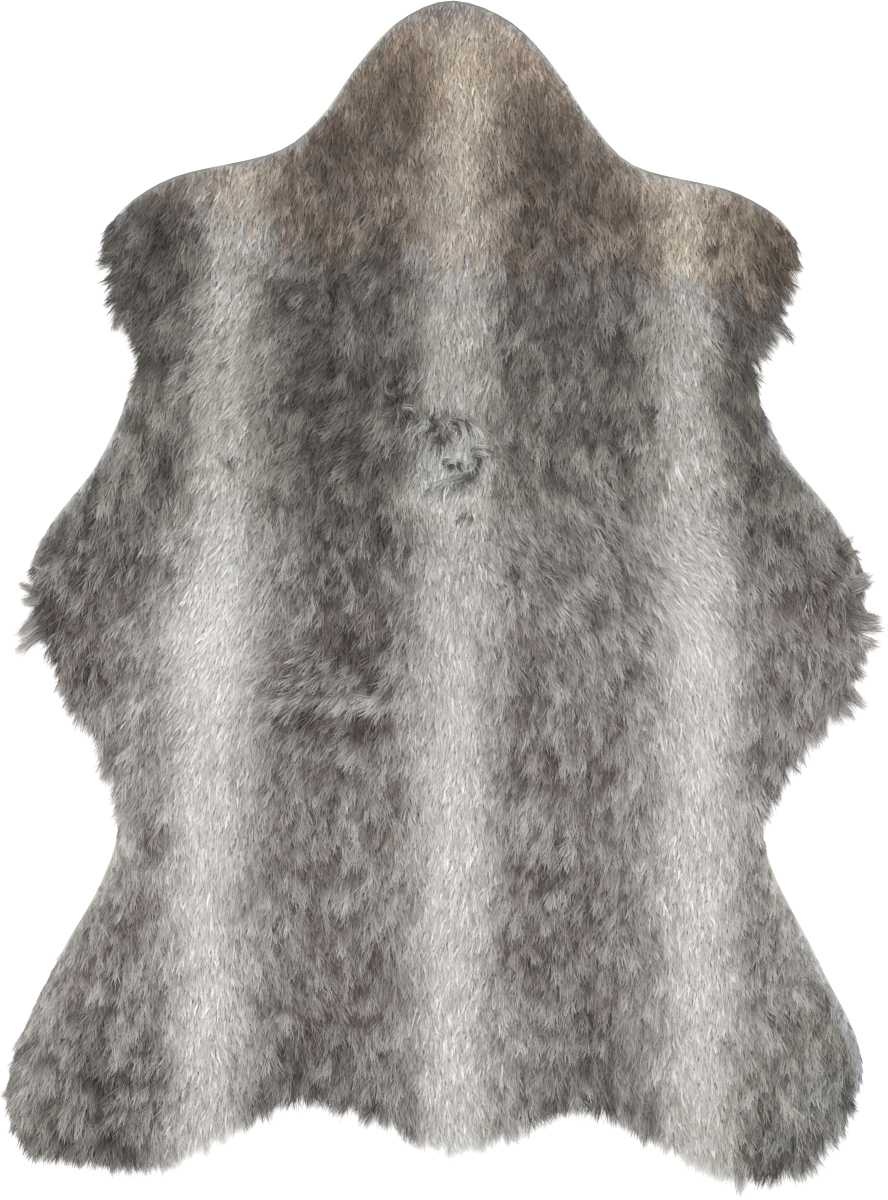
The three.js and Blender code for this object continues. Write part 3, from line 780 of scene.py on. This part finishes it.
# The coats of fur, a column to each, from the ground up. Sizes in millimetres, sway and stray in degrees
COATS = {
    "piece": ("under_fur", "body_fur_a", "body_fur_b", "body_fur_c", "guard_hair"),
    "Strands": (61000, 61000, 61000, 61000, 36000),
    "Points along": (3, 3, 3, 3, 4),
    "Length": (15, 17, 17.5, 18, 20),
    "Width": (2.5, 0.78, 0.68, 0.62, 0.5),
    "Rise": (0.7, 0.7, 0.75, 0.78, 0.82),
    "Clump pull": (0.3, 0.34, 0.34, 0.36, 0.27),
    "Sway": (16, 18, 18, 20, 22),
    "Stray": (11, 15, 16, 17, 19),
    "Tone shift": (0.0, 0.02, 0.0, 0.0, -0.01),
    # Painted light in pale fur: the lower coats are drawn paler where the fur is pale, in place of light that
    # pale hair lets through
    "Pale lift": (0.18, 0.07, 0.0, 0.0, 0.0),
    "Tone spread": (0.04, 0.07, 0.08, 0.1, 0.13),
    "Clump spread": (0.16, 0.4, 0.42, 0.44, 0.32),
    "Tuft spread": (0.15, 0.15, 0.15, 0.15, 0.15),
    "Dark hairs": (0.0, 0.0, 0.0, 0.03, 0.06),
    "Dark middle": (0.06, 0.09, 0.11, 0.12, 0.13),
    "Pale tip": (0.06, 0.14, 0.16, 0.18, 0.18),
}
# What each coat's strands are grown from: the values above, and those that all coats share
SHARED_SIZES = {"Clump size": CLUMP_SIZE, "Tuft size": TUFT_SIZE, "Lock size": LOCK_SIZE}
STRAND_INPUTS = ["Strands per square metre", "Seed", "Finish", *SHARED_SIZES, *list(COATS)[2:]]
# Inputs that are not plain numbers
INPUT_KINDS = {"Seed": "Int", "Points along": "Int", "Finish": "Material"}
UP = (0.0, 0.0, 1.0)
# How far strands differ from each other, and clumps, tufts and locks of them
EVEN_SWAY = 0.32  # share of the sway that is left where the fur is even
CLUMP_SWAY, LOCK_SWAY, LOCK_PULL = 1.4, 0.6, 0.75
STRAND_LENGTH, CLUMP_LENGTH, LOCK_LENGTH = (0.68, 1.14), 0.2, 0.5
STRAND_RISE, CLUMP_RISE, TUFT_RISE = (0.82, 1.18), 0.4, 0.3
STRAND_WARMTH, CLUMP_WARMTH, TUFT_WARMTH = (-0.1, 0.1), 0.12, 0.1
STRAND_CURL, STRAND_ROLL = (-0.18, 0.18), (-0.22, 0.22)
DARK_HAIR = -0.1
# The form of a strand: its reach and height along it, as shares of t and t squared, and how it narrows
REACH_EARLY, REACH_LATE = 0.28, 0.64
ARCH_UP, ARCH_DOWN = 2.7, 1.7
TIP_NARROW = 0.5


def in_use(sockets, name=None):
    """The first socket in use, or the first in use of that name."""
    return next(s for s in sockets if s.enabled and name in (None, s.name))


def strand_tree():
    """Strands rooted on the cloth that rise, bend over along the lay and gather into pointed clumps."""
    tree = bpy.data.node_groups.new("fur_strands", "GeometryNodeTree")
    face = tree.interface
    face.new_socket("Ground", in_out="INPUT", socket_type="NodeSocketGeometry")
    for name in STRAND_INPUTS:
        face.new_socket(name, in_out="INPUT", socket_type="NodeSocket" + INPUT_KINDS.get(name, "Float"))
    face.new_socket("Strands", in_out="OUTPUT", socket_type="NodeSocketGeometry")
    n = Nodes(tree)
    given = {socket.name: Flow(n, socket) for socket in n.add("NodeGroupInput").outputs}
    position = n.flow(n.add("GeometryNodeInputPosition"), 0)

    def named(name, kind="FLOAT"):
        return n.flow(n.add("GeometryNodeInputNamedAttribute", {"Name": name}, data_type=kind), "Attribute")

    def chance(limits, draw):
        node = n.add("FunctionNodeRandomValue", data_type="FLOAT")
        for name, value in zip(("Min", "Max", "Seed"), (*limits, given["Seed"] * 16.0 + float(draw))):
            n.feed(in_use(node.inputs, name), value)
        return Flow(n, in_use(node.outputs))

    def cells(size, where):
        """The middle of the cell that a root is in, and three numbers drawn for the cell, about 0."""
        inputs = {"Vector": where, "Scale": 1.0 / given[size]}
        node = n.add("ShaderNodeTexVoronoi", inputs, voronoi_dimensions="2D", feature="F1")
        return n.flow(node, "Position"), [draw - 0.5 for draw in n.flow(node, "Color").parts()]

    def dot(first, second):
        return n.vector("DOT_PRODUCT", first, second, out="Value")

    roots = n.add(
        "GeometryNodeDistributePointsOnFaces",
        {"Mesh": given["Ground"], "Seed": given["Seed"]},
        distribute_method="RANDOM",
    )
    n.feed(in_use(roots.inputs, "Density"), given["Strands per square metre"])

    # Clumps lie in tufts, with their length along the lay
    lay = named("lay", "FLOAT_VECTOR")
    tuft_middle, tuft = cells("Tuft size", position)
    off_tuft = n.vector("SUBTRACT", position, tuft_middle)
    off_sideways = dot(off_tuft, n.vector("CROSS_PRODUCT", UP, lay))
    comb = n.vector("ADD", tuft_middle, n.joined(off_sideways, dot(off_tuft, lay) / CLUMP_STRETCH))
    clump_middle, clump = cells("Clump size", comb)
    lock_middle, lock = cells("Lock size", position)
    free = named("free")
    lock = [draw * free for draw in lock]

    # Which way each strand goes, and how far it is drawn to its clump or lock
    mixed = named("mix")
    unrest = n.calc("MULTIPLY_ADD", mixed, 1.0 - EVEN_SWAY, EVEN_SWAY)
    sway, stray = given["Sway"] * unrest, given["Stray"]
    turn = clump[0] * (sway * CLUMP_SWAY) + tuft[0] * sway
    turn = turn + chance((-1.0, 1.0), 1) * stray + chance((-1.0, 1.0), 9) * stray + lock[0] * LOCK_SWAY
    way = n.flow(n.add("ShaderNodeVectorRotate", {"Vector": lay, "Angle": turn}, rotation_type="Z_AXIS"), 0)
    side = n.vector("CROSS_PRODUCT", UP, way)
    off_across, off_along, _ = n.vector("SUBTRACT", comb, clump_middle).parts()
    clump_pull = given["Clump pull"] * (1.0 - free)
    off_lock = dot(n.vector("SUBTRACT", position, lock_middle), side)
    across = off_across * clump_pull + off_lock * (free * LOCK_PULL)
    behind = off_along * CLUMP_STRETCH * clump_pull

    # Its size and dye
    longer = chance(STRAND_LENGTH, 2) + clump[1] * CLUMP_LENGTH + lock[1] * LOCK_LENGTH
    higher = chance(STRAND_RISE, 3) + clump[2] * (unrest * CLUMP_RISE) + tuft[2] * (unrest * TUFT_RISE)
    dark_hair = n.calc("LESS_THAN", chance((0.0, 1.0), 8), given["Dark hairs"]) * DARK_HAIR
    change = given["Tone shift"] + chance((-0.5, 0.5), 4) * given["Tone spread"]
    change = change + clump[1] * given["Clump spread"] + tuft[1] * given["Tuft spread"]
    # The lower coats in pale fur are lightened with painted light, in place of light that pale hair lets
    # through
    tone = named("tone") + change * mixed + dark_hair + (1.0 - mixed) * given["Pale lift"]
    warmth = named("warmth") + chance(STRAND_WARMTH, 5) + clump[0] * CLUMP_WARMTH + tuft[0] * TUFT_WARMTH
    vectors = {"root": position, "way": way, "side": side}
    numbers = {
        "across": across,
        "behind": behind,
        "length": given["Length"] * named("reach") * longer,
        "rise": given["Rise"] * named("lift") * higher,
        "tone": tone,
        "warmth": warmth,
        "mixed": mixed,
        "curl": chance(STRAND_CURL, 6),
        "roll": chance(STRAND_ROLL, 7),
    }
    keep = n.add("GeometryNodeCaptureAttribute", domain="POINT")
    for kind, values in (("VECTOR", vectors), ("FLOAT", numbers)):
        for name in values:
            keep.capture_items.new(kind, name)
    n.feed(keep.inputs["Geometry"], n.flow(roots, "Points"))
    for name, value in {**vectors, **numbers}.items():
        n.feed(keep.inputs[name], value)

    # One flat blade, pointed at its end, set on every root
    blade_size = {"Size X": 1.0, "Size Y": 1.0, "Vertices X": 2, "Vertices Y": given["Points along"]}
    blade = n.add("GeometryNodeMeshGrid", blade_size)
    at_end = n.calc("GREATER_THAN", position.parts()[1], 0.49)
    on_axis = n.vector("MULTIPLY", position, (0.0, 1.0, 1.0))
    pointed = {"Geometry": n.flow(blade, "Mesh"), "Selection": at_end, "Position": on_axis}
    pointed = n.flow(n.add("GeometryNodeSetPosition", pointed), "Geometry")
    tipped = n.flow(n.add("GeometryNodeMergeByDistance", {"Geometry": pointed}), "Geometry")
    on_blade = n.add("GeometryNodeCaptureAttribute", {"Geometry": tipped}, domain="POINT")
    on_blade.capture_items.new("VECTOR", "blade")
    n.feed(on_blade.inputs["blade"], position)
    spread = {"Points": n.flow(keep, "Geometry"), "Instance": n.flow(on_blade, "Geometry")}
    spread = n.flow(n.add("GeometryNodeInstanceOnPoints", spread), "Instances")
    real = n.flow(n.add("GeometryNodeRealizeInstances", {"Geometry": spread}), "Geometry")

    # Each blade takes the shape of its strand: s runs across it and t from root to tip
    v = {name: n.flow(keep, name) for name in {**vectors, **numbers}}
    s, t, _ = n.flow(on_blade, "blade").parts()
    t = t + 0.5
    t2 = t * t
    t3 = t2 * t
    forward = v["length"] * (t * REACH_EARLY + t2 * REACH_LATE) - v["behind"] * t * 0.5
    sideways = v["length"] * v["curl"] * t2 - v["across"] * t
    height = v["length"] * v["rise"] * (t * ARCH_UP - t2 * ARCH_DOWN)
    breadth = s * -1.0 * (given["Width"] * (1.0 - t3 * TIP_NARROW))
    sideways = sideways + breadth * n.calc("COSINE", v["roll"])
    height = height + breadth * n.calc("SINE", v["roll"])
    where = v["root"]
    for line, far in ((v["way"], forward), (v["side"], sideways), (UP, height)):
        where = n.vector("ADD", where, n.vector("SCALE", line, far))
    where = n.vector("MAXIMUM", where, (-9.0, -9.0, PILE_LOWEST * MM))
    where = n.vector("MINIMUM", where, (9.0, 9.0, PILE_LIMIT * MM))
    shaped = n.flow(n.add("GeometryNodeSetPosition", {"Geometry": real, "Position": where}), "Geometry")

    # The dye map: tone across, hue up
    darker = t * (1.0 - t) * 4.0 * given["Dark middle"]
    shade = (v["tone"] + (t3 * given["Pale tip"] - darker) * v["mixed"]).held(0.02, 0.96) + t * 0.015
    hue = (n.calc("MULTIPLY_ADD", v["warmth"], 0.8, 0.2) + s * 0.02).held(0.02, 0.98)
    named_map = {"Geometry": shaped, "Name": "OFBake"}
    dyed = n.add("GeometryNodeStoreNamedAttribute", named_map, data_type="FLOAT2", domain="CORNER")
    n.feed(in_use(dyed.inputs, "Value"), n.joined(shade, hue))
    smooth = n.add("GeometryNodeSetShadeSmooth", {"Geometry": n.flow(dyed, "Geometry")})
    finished = {"Geometry": n.flow(smooth, "Geometry"), "Material": given["Finish"]}
    finished = n.flow(n.add("GeometryNodeSetMaterial", finished), "Geometry")
    n.add("NodeGroupOutput", {"Strands": finished})
    return tree


def linear(rgb):
    """Screen colour from 0 to 255, as the light value that shaders use."""
    c = np.array(rgb, float) / 255.0
    light = np.where(c <= 0.04045, c / 12.92, ((c + 0.055) / 1.055) ** 2.4)
    return (*light, 1.0)


# The dyes of the fur in four hues, each from dark to pale, at these places on the scale
DYE_PLACES = (0.0, 0.35, 0.5, 0.65, 0.8, 1.0)
BLUISH = [(22, 23, 24), (84, 86, 89), (124, 127, 132), (163, 166, 173), (203, 205, 210), (240, 241, 243)]
OLIVE = [(26, 25, 21), (92, 89, 83), (129, 127, 120), (168, 165, 158), (206, 205, 199), (241, 240, 236)]
MAUVE = [(28, 25, 23), (95, 87, 84), (132, 125, 122), (168, 165, 163), (206, 204, 201), (240, 239, 237)]
BROWN = [(28, 24, 18), (99, 88, 78), (140, 124, 109), (180, 166, 148), (215, 203, 186), (243, 236, 226)]


def new_finish(name):
    material = bpy.data.materials.new(name)
    material.use_nodes = True
    return material, Nodes(material.node_tree), material.node_tree.nodes["Principled BSDF"].inputs


def fur_finish():
    """Dyed fur: the strand's place on the dye scale is in its own map."""
    material, n, shader = new_finish("wolf_grey_fur")
    shade, hue, _ = n.flow(n.add("ShaderNodeUVMap", uv_map="OFBake"), 0).parts()

    def dye(colours):
        node = n.add("ShaderNodeValToRGB", {"Fac": shade})
        stops = node.color_ramp.elements
        stops[0].color, stops[1].color = linear(colours[0]), linear(colours[-1])
        for place, colour in zip(DYE_PLACES[1:-1], colours[1:-1]):
            stops.new(place).color = linear(colour)
        return n.flow(node, "Color")

    def mixed(share, first, second):
        node = n.add("ShaderNodeMix", data_type="RGBA")
        sockets = {s.identifier: s for s in node.inputs}
        for name, value in (("Factor_Float", share), ("A_Color", first), ("B_Color", second)):
            n.feed(sockets[name], value)
        return next(s for s in node.outputs if s.identifier == "Result_Color")

    to_olive = n.calc("MULTIPLY", hue, 5.0, clamp=True)
    to_mauve = n.calc("MULTIPLY_ADD", hue, 2.5, -0.5, clamp=True)
    to_brown = n.calc("MULTIPLY_ADD", hue, 2.5, -1.5, clamp=True)
    grey = mixed(to_mauve, mixed(to_olive, dye(BLUISH), dye(OLIVE)), dye(MAUVE))
    n.feed(shader["Base Color"], mixed(to_brown, grey, dye(BROWN)))
    n.feed(shader["Roughness"], n.calc("MULTIPLY_ADD", shade, -0.12, 0.72))
    shader["Specular IOR Level"].default_value = 0.15
    return material


def cloth_finish():
    """Knitted ground of the fur cloth: fine ribs, greyish beige."""
    material, n, shader = new_finish("knitted_ground")
    place = n.flow(n.add("ShaderNodeTexCoord"), "Object")
    rib_inputs = {"Vector": place, "Scale": 160.0, "Distortion": 2.0, "Detail": 2.0, "Detail Scale": 3.0}
    ribs = n.flow(n.add("ShaderNodeTexWave", rib_inputs, wave_type="BANDS", bands_direction="X"), "Fac")
    cloud = n.flow(n.add("ShaderNodeTexNoise", {"Vector": place, "Scale": 22.0, "Detail": 5.0}), "Fac")
    tone = n.flow(n.add("ShaderNodeAttribute", attribute_name="tone"), "Fac")
    dyed = tone + n.calc("MULTIPLY_ADD", ribs, 0.12, cloud * 0.16) - 0.14
    ramp = n.add("ShaderNodeValToRGB", {"Fac": dyed})
    ramp.color_ramp.elements[0].color = linear((52, 52, 47))
    ramp.color_ramp.elements[1].color = linear((226, 225, 219))
    bump = n.add("ShaderNodeBump", {"Strength": 0.5, "Distance": 0.0008, "Height": ribs})
    n.feed(shader["Base Color"], n.flow(ramp, "Color"))
    n.feed(shader["Normal"], n.flow(bump, "Normal"))
    shader["Roughness"].default_value = 0.92
    return material


def coat_piece(order, ground, tree, finish, area):
    """One coat of fur, as a plain mesh."""
    values = {**SHARED_SIZES, **{name: row[order] for name, row in COATS.items()}}
    for name in ("Length", "Width", *SHARED_SIZES):
        values[name] *= MM
    for name in ("Sway", "Stray"):
        values[name] = math.radians(values[name])
    values["Strands per square metre"] = values["Strands"] / area
    values.update({"Seed": SEED + order, "Finish": finish})
    piece = in_scene(values["piece"], ground.copy())
    grower = piece.modifiers.new("strands", "NODES")
    grower.node_group = tree
    for item in tree.interface.items_tree:
        if item.in_out == "INPUT" and item.name in STRAND_INPUTS:
            grower[item.identifier] = values[item.name]
    seen = piece.evaluated_get(bpy.context.evaluated_depsgraph_get())
    mesh = bpy.data.meshes.new_from_object(seen)
    piece.modifiers.remove(grower)
    bare = piece.data
    piece.data = mesh
    mesh.name = piece.name
    bpy.data.meshes.remove(bare)
    spent = [layer.name for layer in ground.attributes if layer.domain == "POINT" and not layer.is_required]
    for name in [*spent, "id"]:
        if name in mesh.attributes:
            mesh.attributes.remove(mesh.attributes[name])
    return piece


def rounded(path):
    """The path with its corners cut off smoothly."""
    for _ in range(3):
        near, far = path[:-1] * 0.75 + path[1:] * 0.25, path[:-1] * 0.25 + path[1:] * 0.75
        path = np.concatenate([path[:1], np.stack([near, far], 1).reshape(-1, 2), path[-1:]])
    return path


def lock_piece(name, locks, close, loose, half_width, warmth, finish, seed):
    """Separate locks as one mesh: strands that follow each lock's path and close up towards its tip."""
    rng = np.random.default_rng(seed)
    steps = np.linspace(0.0, 1.0, LOCK_STEPS)
    points, dyes, faces, first = [], [], [], 0
    for width, count, root_tone, tip_tone, root_height, top_height, path in locks:
        path = rounded(np.array(path, float))
        run = run_of(path)
        start, end = rng.uniform(0.0, 0.3, (count, 1)), rng.uniform(0.7, 1.0, (count, 1))
        along = start + (end - start) * steps
        centre = np.stack([np.interp(along * run[-1], run, path[:, k]) for k in (0, 1)], -1)
        way = np.gradient(centre, axis=1)
        way /= np.linalg.norm(way, axis=2, keepdims=True)
        side = np.stack([-way[..., 1], way[..., 0]], -1)
        apart = rng.uniform(-0.5, 0.5, (count, 1)) * width * (1.0 - close * along**1.5)
        wave = rng.normal(0.0, 0.9 * loose, (count, 1)) * np.sin(along * rng.uniform(3.0, 8.0, (count, 1)))
        drift = rng.normal(0.0, 0.09 * loose, (count, 1)) * run[-1] * along**2
        centre = centre + side * (apart + wave + drift)[..., None]
        bow = np.sin(along**0.7 * math.pi * 0.8)
        height = root_height + (top_height - root_height) * bow * rng.uniform(0.4, 1.25, (count, 1))
        half = side * (half_width * (1.0 - 0.8 * steps**2))[None, :, None]
        tone = root_tone + (tip_tone - root_tone) * smoothstep(0.05, 0.6, along)
        tone = np.clip(tone + rng.normal(0.0, 0.08, (count, 1)), 0.03, 0.96) + 0.015 * steps
        hue = 0.2 + 0.8 * warmth + rng.normal(0.0, 0.04, (count, 1)) + np.zeros_like(tone)
        for edge_side in (-1.0, 1.0):
            points.append(np.concatenate([centre + half * edge_side, height[..., None]], -1).reshape(-1, 3))
            dyes.append(np.stack([tone, np.clip(hue, 0.03, 0.97) + 0.01 * edge_side], -1).reshape(-1, 2))
        left = first + np.arange(count)[:, None] * LOCK_STEPS + np.arange(LOCK_STEPS - 1)[None]
        right = left + count * LOCK_STEPS
        faces.append(np.stack([left, left + 1, right + 1, right], -1).reshape(-1, 4))
        first += 2 * count * LOCK_STEPS
    mesh = new_mesh(name, np.concatenate(points) * MM, np.concatenate(faces))
    corners = np.zeros(len(mesh.loops), int)
    mesh.loops.foreach_get("vertex_index", corners)
    dye_map = mesh.uv_layers.new(name="OFBake")
    dye_map.data.foreach_set("uv", np.concatenate(dyes)[corners].astype(np.float32).ravel())
    mesh.polygons.foreach_set("use_smooth", np.ones(len(mesh.polygons), bool))
    mesh.materials.append(finish)
    return in_scene(name, mesh)


FLOOR_HALF = 9.0
FLOOR_DROP = 0.0004  # the floor lies just under the cloth
WORLD_LIGHT = 0.47
# Lamps in metres and watts: name, place, size, power
LAMPS = [
    ("main_lamp", (-0.5, 0.9, 6.5), 3.0, 418.0),
    ("fill_lamp", (1.2, -1.0, 6.5), 4.0, 105.0),
]


def set_floor():
    corners = [(x * FLOOR_HALF, y * FLOOR_HALF, -FLOOR_DROP) for x, y in ((-1, -1), (1, -1), (1, 1), (-1, 1))]
    mesh = new_mesh("floor", np.array(corners), [(0, 1, 2, 3)])
    material, _, shader = new_finish("pale_floor")
    shader["Base Color"].default_value = (0.9, 0.9, 0.9, 1)
    shader["Roughness"].default_value = 0.9
    shader["Specular IOR Level"].default_value = 0.1
    mesh.materials.append(material)
    floor = in_scene("floor", mesh)


def set_light():
    world = bpy.data.worlds.new("soft_room")
    bpy.context.scene.world = world
    world.use_nodes = True
    sky = world.node_tree.nodes["Background"].inputs
    sky["Color"].default_value = (1.0, 1.0, 1.0, 1.0)
    sky["Strength"].default_value = WORLD_LIGHT
    for name, place, size, power in LAMPS:
        lamp = bpy.data.lights.new(name, "AREA")
        lamp.shape = "RECTANGLE"
        lamp.size = lamp.size_y = size
        lamp.energy = power
        holder = in_scene(name, lamp)
        holder.location = place
        holder.rotation_mode = "QUATERNION"
        holder.rotation_quaternion = (-Vector(place)).to_track_quat("-Z", "Y")


def set_camera():
    """Straight above the rug, head end up, the frame's height taking in the rug's length."""
    eye = bpy.data.cameras.new("eye")
    eye.sensor_width = SENSOR
    eye.lens = SENSOR / 2 * (VIEW_HEIGHT - VIEW_LEVEL) / (VIEW_LONG / 2)
    eye.clip_end = 50.0
    holder = in_scene("eye", eye)
    holder.location = (0.0, 0.0, VIEW_HEIGHT * MM)
    bpy.context.scene.camera = holder


def area_inside(ring):
    x, y = ring.T
    return abs(np.sum(x * np.roll(y, -1) - y * np.roll(x, -1))) / 2


bpy.context.scene.view_settings.view_transform = "Standard"
set_camera()
set_light()
set_floor()

cut_area = area_inside(edge) * MM * MM
cut_size = (edge.max(0) - edge.min(0)) * MM
cloth = cloth_piece()
cloth.data.materials.append(cloth_finish())
ground = fur_ground()
tree = strand_tree()
finish = fur_finish()
coats = [coat_piece(order, ground, tree, finish, cut_area) for order in range(len(COATS["piece"]))]
coats.append(lock_piece("swirl_fur", SWIRL_LOCKS, 0.25, 1.6, 0.36, -0.02, finish, SEED + 20))
coats.append(lock_piece("rim_locks", RIM_LOCKS, 0.75, 1.0, 0.32, 0.35, finish, SEED + 21))
bpy.data.meshes.remove(ground)
bpy.data.node_groups.remove(tree)

for piece in [cloth, *coats]:
    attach(piece, "root")
    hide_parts("fur_hide")
